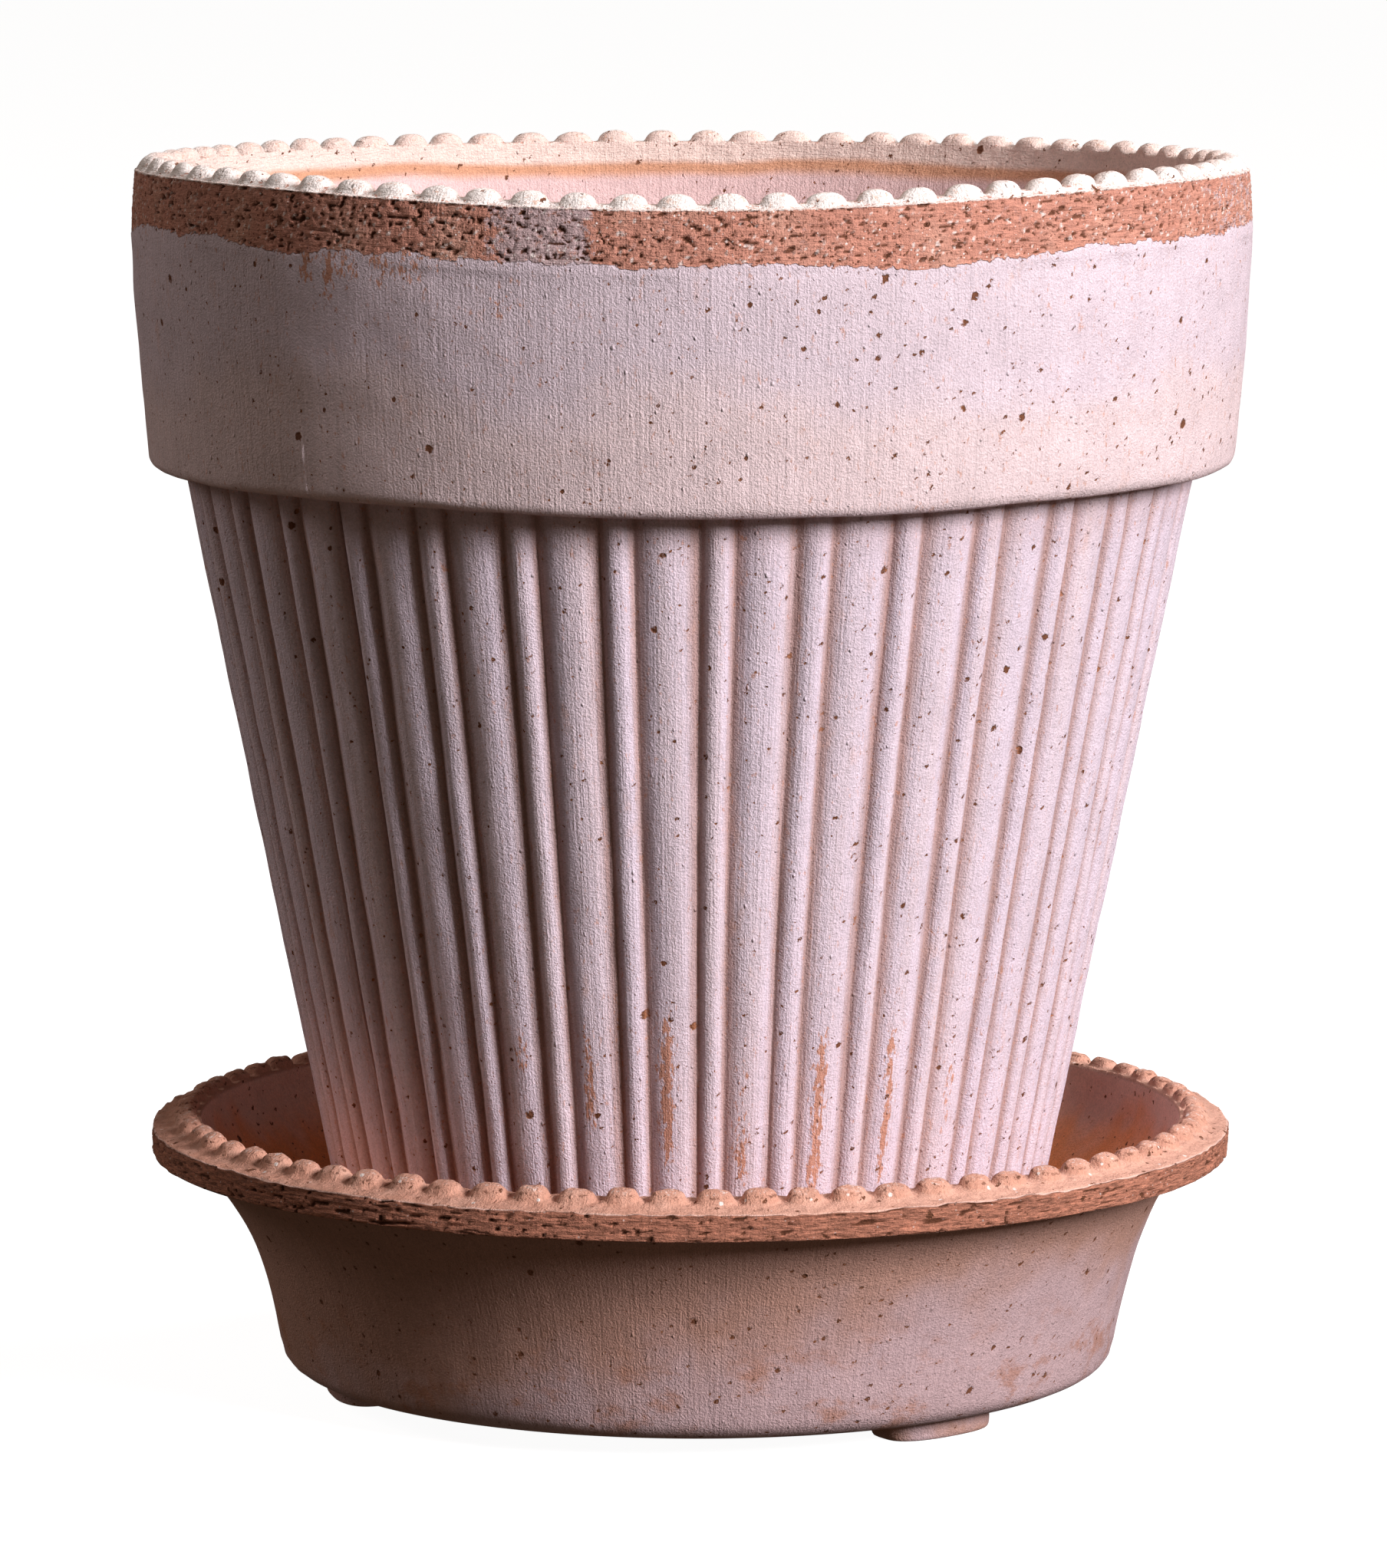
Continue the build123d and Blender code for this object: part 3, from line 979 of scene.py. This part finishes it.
def pot_slip(clay, cloudy, wipes):
    """The thin slip outside: rubbed warm and darkened in the grooves, partly worn slip and
    partly painted shade, darker under the collar as painted shade, lilac over peach on the collar.
    """
    broad = clay.noise(clay.wrapped(0.035), 5, detail=2)
    edge = clay.plus(clay.layer("groove"), clay.span(wipes, 0.2, 0.8, -0.10, 0.10))
    body = clay.mix(clay.span(broad, 0.35, 0.80, 0, 0.6), BODY_SLIP, PEACH_SLIP)
    # Towards the grooves the slip turns warm and dark: partly worn slip, partly painted shade in
    # the grooves.
    body = clay.mix(clay.span(edge, 0.50, 0.98), body, BODY_WORN_AND_SHADE)
    # Painted shade: the ribs darken over the last 11 mm under the collar, where its overhang casts
    # a shadow.
    painted_shade_under_collar = clay.span(clay.height, COLLAR_BASE - 11, COLLAR_BASE - 1, 0, 0.35)
    body = clay.mix(painted_shade_under_collar, body, BODY_WORN_AND_SHADE)
    tide = clay.plus(clay.height, clay.span(cloudy, 0.3, 0.7, -5, 5))
    collar = clay.mix(clay.span(tide, 164, 175), PEACH_SLIP, LILAC_SLIP)
    on_collar = clay.span(clay.height, COLLAR_BASE - 1.5, COLLAR_BASE + 0.6)
    slip = clay.mix(on_collar, body, collar)
    smudge = clay.noise(clay.wrapped(0.5), 6, detail=4, roughness=0.7)
    slip = clay.mix(clay.span(smudge, 0.60, 0.74, 0, 0.35), slip, PALE_CLAY_AND_PAINTED_LIGHT)
    # Painted shade: the slip darkens in the low furrows of the wipe marks, which also make the
    # relief.
    slip = clay.shade(slip, clay.span(wipes, 0.2, 0.8, 0.95, 1.05))
    return clay.mix(clay.times(rust_mask(clay), 0.8), slip, RUST)


def pot_band(clay, streak):
    """The bare band: orange clay with patches of grey salt, dark pits and pale grog."""
    patchy = clay.noise(clay.wrapped(0.6), 9, detail=3, roughness=0.6)
    band = clay.mix(clay.span(patchy, 0.45, 0.75, 0, 0.6), BARE_CLAY, PALE_CLAY_AND_PAINTED_LIGHT)
    # Painted shade: the band darkens in the low furrows of the streaks, which also make the torn
    # relief.
    band = clay.shade(band, clay.span(streak, 0.25, 0.75, 0.82, 1.18))
    broken = clay.noise(clay.place, 1.6, detail=4, roughness=0.7)
    salt = clay.plus(clay.layer("salt"), clay.span(broken, 0.3, 0.7, -0.6, 0.45))
    band = clay.mix(clay.span(salt, 0.3, 0.7, 0, 0.85), band, GREY_SALT)
    nicks = clay.spots(clay.place, size=0.8, share=0.7, radius=0.26, soft=0.4)
    band = clay.mix(clay.times(nicks, 0.75), band, PIT_BROWN)
    band = clay.mix(clay.span(clay.layer("hollow"), 0.15, 0.65, 0, 0.92), band, PIT_BROWN)
    moved = clay.vector("ADD", clay.place, (3, 5, 7))
    grains = clay.spots(moved, size=0.9, share=0.55, radius=0.22, soft=0.5)
    grains = clay.most(clay.times(grains, 0.9), clay.times(clay.layer("grog"), 0.8))
    return clay.mix(grains, band, CREAM)


def pot_rim(clay, colour):
    """Cream rim and beads over the colour, peach towards the inside as painted shade on the
    beads' inner sides, rubbed to orange here and there and worn through between the beads."""
    rubbed = clay.noise(clay.place, 1.1, detail=4, roughness=0.8)
    # Painted shade: towards the mouth the rim top turns peach, on the inner sides of the beads.
    rim = clay.mix(clay.span(clay.distance(), 87.6, 85.4), CREAM, PEACH_LIP_AND_BEAD_SHADE)
    rim = clay.mix(clay.span(rubbed, 0.54, 0.66, 0, 0.6), rim, CREASE_ORANGE)
    worn = clay.noise(clay.place, 0.9, detail=4, roughness=0.8)
    between_beads = clay.span(clay.layer("bead"), 0.35, 0.0, 0.15, 1.0)
    wear = clay.times(clay.span(worn, 0.36, 0.56, -0.9, 0), between_beads)
    creamy = clay.span(clay.plus(clay.layer("cream"), wear), 0.25, 0.55)
    return clay.mix(creamy, colour, rim)


def pot_inner(clay, cloudy):
    """Inside: peach down to the orange crease, pink below."""
    depth = clay.plus(clay.layer("depth"), clay.span(cloudy, 0.3, 0.7, -0.5, 0.5))
    inner = clay.mix(clay.span(depth, -1.5, -0.1, 0, 0.95), PEACH_LIP_AND_BEAD_SHADE, CREASE_ORANGE)
    return clay.mix(clay.span(depth, 0.4, 2.4), inner, INNER_PINK)


def pot_material():
    clay = Nodes("pot_clay")
    cloudy = clay.noise(clay.wrapped(1.0), 26, detail=3, roughness=0.55)
    wipes = clay.noise(clay.wrapped(0.03), 0.55, detail=3, roughness=0.65)
    dragged = clay.vector("MULTIPLY", clay.place, (0.16, 0.16, 1.0))
    streak = clay.noise(dragged, 0.36, detail=3, roughness=0.65)
    ragged = clay.noise(clay.place, 1.1, detail=3)

    above_edge = clay.plus(clay.layer("bare"), clay.span(ragged, 0.3, 0.7, -0.28, 0.28))
    on_band = clay.span(above_edge, -0.10, 0.12)
    colour = clay.mix(on_band, pot_slip(clay, cloudy, wipes), pot_band(clay, streak))

    colour = pot_rim(clay, colour)
    colour = clay.mix(clay.layer("inside"), colour, pot_inner(clay, cloudy))

    nubs = clay.spots(clay.wrapped(0.75), size=1.8, share=0.45, radius=0.34, soft=0.85)
    relief = clay.plus(clay.times(nubs, 0.30), clay.times(wipes, 0.22))
    torn = clay.times(clay.times(streak, on_band), 0.45)
    fewer = clay.span(clay.layer("groove"), 0.95, 0.7, 0.4, 1.0)
    specks = clay.times(clay_specks(clay), fewer)
    return finish_clay(clay, colour, clay.plus(relief, torn), specks)


def saucer_top(clay):
    """Flange top and beads: orange clay, paler between the beads on the lit right side as
    painted light, with dark broken rings round the worn bead caps and a scatter of salt."""
    patchy = clay.noise(clay.place, 5, detail=4, roughness=0.7)
    top = clay.mix(clay.span(patchy, 0.42, 0.72, 0, 0.8), SAUCER_TOP, PALE_CLAY_AND_PAINTED_LIGHT)
    bead = clay.layer("bead")
    ring = clay.times(clay.span(bead, 0.50, 0.62), clay.span(bead, 0.86, 0.74))
    chips = clay.span(clay.noise(clay.place, 0.8, detail=3, roughness=0.7), 0.50, 0.58)
    top = clay.mix(clay.times(clay.times(ring, chips), 0.7), top, PIT_BROWN)
    cap = clay.span(clay.noise(clay.place, 0.7, detail=3, roughness=0.8), 0.52, 0.66)
    cap = clay.times(cap, clay.span(bead, 0.80, 0.95))
    # Painted light: between the beads the top turns pale towards the right, where the light falls.
    painted_light_right = clay.times(clay.span(clay.aside, -30, 45), clay.span(bead, 0.25, 0.05))
    top = clay.mix(clay.times(painted_light_right, 0.7), top, PALE_CLAY_AND_PAINTED_LIGHT)
    salt = clay.spots(clay.place, size=2.0, share=0.35, radius=0.42)
    white = clay.most(clay.times(cap, 0.55), clay.times(salt, 0.75))
    return clay.mix(white, top, SALT_WHITE)


def saucer_wall_colour(clay, tide, wipes):
    """Outer wall: lilac slip below and brown above, the brown carried higher on the shaded left
    side as painted shade, with brown stains near the foot."""
    # Painted shade: the brown reaches up to 20 mm higher towards the left, the side away from the
    # key light.
    tide_with_left_shade = clay.plus(tide, clay.span(clay.aside, -60, 45, 20, 0))
    wall = clay.mix(clay.span(tide_with_left_shade, 17, 34), SAUCER_SLIP, SAUCER_BROWN)
    # Painted shade: the wall darkens in the low furrows of the wipe marks, which also make the
    # relief.
    wall = clay.shade(wall, clay.span(wipes, 0.2, 0.8, 0.94, 1.06))
    stains = clay.span(clay.noise(clay.wrapped(1.6), 11, detail=5, roughness=0.7), 0.50, 0.66)
    low = clay.span(clay.height, 26, 12, 0, 0.6)
    return clay.mix(clay.times(stains, low), wall, SPECK_BROWN)


def saucer_inner(clay, tide):
    """Inner wall: orange clay with a pale lip and a little salt bloom lower down."""
    inner = clay.mix(clay.span(tide, 30, 43), SAUCER_INSIDE, SAUCER_LIP)
    bloom = clay.span(clay.noise(clay.place, 3.2, detail=5, roughness=0.8), 0.60, 0.75, 0, 0.3)
    return clay.mix(clay.times(bloom, clay.span(clay.height, 30, 16)), inner, SAUCER_LIP)


def saucer_edge(clay, fibre):
    """The flange's torn edge: fibrous dark clay, darker in the low parts of its fibres as
    painted shade, with pale grains and darker pits.
    """
    # Painted shade: the edge darkens in the low furrows of its fibres, which also make the torn
    # relief.
    edge = clay.shade(SAUCER_EDGE, clay.span(fibre, 0.3, 0.7, 0.50, 1.40))
    grains = clay.spots(clay.place, size=1.1, share=0.5, radius=0.22, soft=0.5)
    edge = clay.mix(clay.times(grains, 0.5), edge, SALT_WHITE)
    return clay.mix(clay.span(clay.layer("hollow"), 0.10, 0.65), edge, PIT_BROWN)


def saucer_material():
    clay = Nodes("saucer_clay")
    cloudy = clay.noise(clay.wrapped(1.0), 20, detail=3, roughness=0.55)
    wipes = clay.noise(clay.wrapped(0.05), 0.6, detail=3, roughness=0.6)
    dragged = clay.vector("MULTIPLY", clay.place, (0.14, 0.14, 1.0))
    fibre = clay.noise(dragged, 0.30, detail=4, roughness=0.7)
    tide = clay.plus(clay.height, clay.span(cloudy, 0.3, 0.7, -5, 5))
    on_edge = clay.span(clay.layer("edge"), 0.1, 0.9)
    on_top = clay.span(clay.layer("top"), 0.1, 0.9)
    wall = saucer_wall_colour(clay, tide, wipes)
    colour = clay.mix(clay.layer("inside"), wall, saucer_inner(clay, tide))
    colour = clay.mix(on_top, colour, saucer_top(clay))
    colour = clay.mix(on_edge, colour, saucer_edge(clay, fibre))

    nubs = clay.spots(clay.wrapped(0.8), size=1.8, share=0.45, radius=0.38, soft=0.9)
    torn = clay.times(clay.times(fibre, on_edge), 0.70)
    relief = clay.plus(torn, clay.times(nubs, 0.20))
    relief = clay.plus(relief, clay.times(wipes, 0.18))
    return finish_clay(clay, colour, relief, clay_specks(clay, share=0.85))


def foot_material():
    clay = Nodes("foot_clay")
    cloudy = clay.noise(clay.place, 8, detail=3)
    colour = clay.mix(clay.span(cloudy, 0.35, 0.65), SAUCER_SLIP, SAUCER_BROWN)
    return finish_clay(clay, colour, clay.times(cloudy, 0.3), clay_specks(clay))


# ---------------------------------------------------------------- studio

def build_floor():
    """A wide pale floor that lights nothing and isn't seen in the clay's sheen."""
    half = 6.0
    mesh = bpy.data.meshes.new("floor")
    corners = [(-half, -half, 0), (half, -half, 0), (half, half, 0), (-half, half, 0)]
    mesh.from_pydata(corners, [], [(0, 1, 2, 3)])
    floor = bpy.data.objects.new("floor", mesh)
    bpy.context.scene.collection.objects.link(floor)
    paint = Nodes("floor_paint")
    soft = paint.noise(paint.place, 900, detail=2)
    tone = paint.shade(rgb(0.3, 0.3, 0.3), paint.span(soft, 0.2, 0.8, 0.99, 1.0))
    paint.feed(paint.shader.inputs["Base Color"], tone)
    paint.shader.inputs["Roughness"].default_value = 0.9
    paint.shader.inputs["Specular IOR Level"].default_value = 0.1
    paint.shader.inputs["Emission Color"].default_value = rgb(1.0, 1.0, 1.0)
    paint.shader.inputs["Emission Strength"].default_value = 0.95
    mesh.materials.append(paint.material)
    floor.visible_diffuse = False
    floor.visible_glossy = False


def soft_light(name, azimuth, elevation, distance, size, power, colour, target):
    """A square softbox that faces the target; azimuth as on the pot, from the front
    towards +X. Lengths are in metres and the power in watts."""
    turn, lift = math.radians(azimuth), math.radians(elevation)
    lamp = bpy.data.lights.new(name, "AREA")
    lamp.shape = "SQUARE"
    lamp.size = size
    lamp.energy = power
    lamp.color = colour
    light = bpy.data.objects.new(name, lamp)
    away = Vector((math.sin(turn), -math.cos(turn), 0)) * math.cos(lift)
    light.location = target + (away + Vector((0, 0, math.sin(lift)))) * distance
    light.rotation_euler = (target - light.location).to_track_quat("-Z", "Y").to_euler()
    bpy.context.scene.collection.objects.link(light)


def build_studio():
    scene = bpy.context.scene
    scene.view_settings.view_transform = "Standard"
    target = (cad_box[0] + cad_box[1]) / 2
    soft_light("key", 48, 23, 2.4, 0.8, 92, (1.0, 0.98, 1.0), target)
    soft_light("upper_right", 105, 64, 1.8, 0.8, 13, (1.0, 0.99, 0.99), target)
    soft_light("left_rim", -105, 26, 2.2, 0.7, 9.5, (1.0, 0.92, 0.88), target)
    soft_light("low_front", 38, 3, 2.2, 0.5, 1.3, (1.0, 0.85, 0.75), target)
    world = bpy.data.worlds.new("world")
    scene.world = world
    world.use_nodes = True
    surround = world.node_tree.nodes["Background"]
    surround.inputs["Color"].default_value = (1.0, 0.75, 0.54, 1.0)
    surround.inputs["Strength"].default_value = 0.075


def build_camera():
    """A long lens in front, a little above the rim and tilted down."""
    lens = bpy.data.cameras.new("camera")
    lens.sensor_fit = "HORIZONTAL"
    lens.sensor_width = 36.0
    lens.lens = 232.226
    lens.shift_x = 0.0012
    camera = bpy.data.objects.new("camera", lens)
    camera.location = (0, -1.4412, 0.2909)
    tilt_down = math.radians(7.603)
    camera.rotation_euler = (math.pi / 2 - tilt_down, 0, 0)
    bpy.context.scene.collection.objects.link(camera)
    bpy.context.scene.camera = camera


build_pot(pot_material())
build_saucer(saucer_material())
foot_clay = foot_material()
for order, node in enumerate(("foot_right", "foot_back", "foot_left")):
    build_foot(node, foot_clay, seed=90 + order)
build_floor()
build_studio()
build_camera()
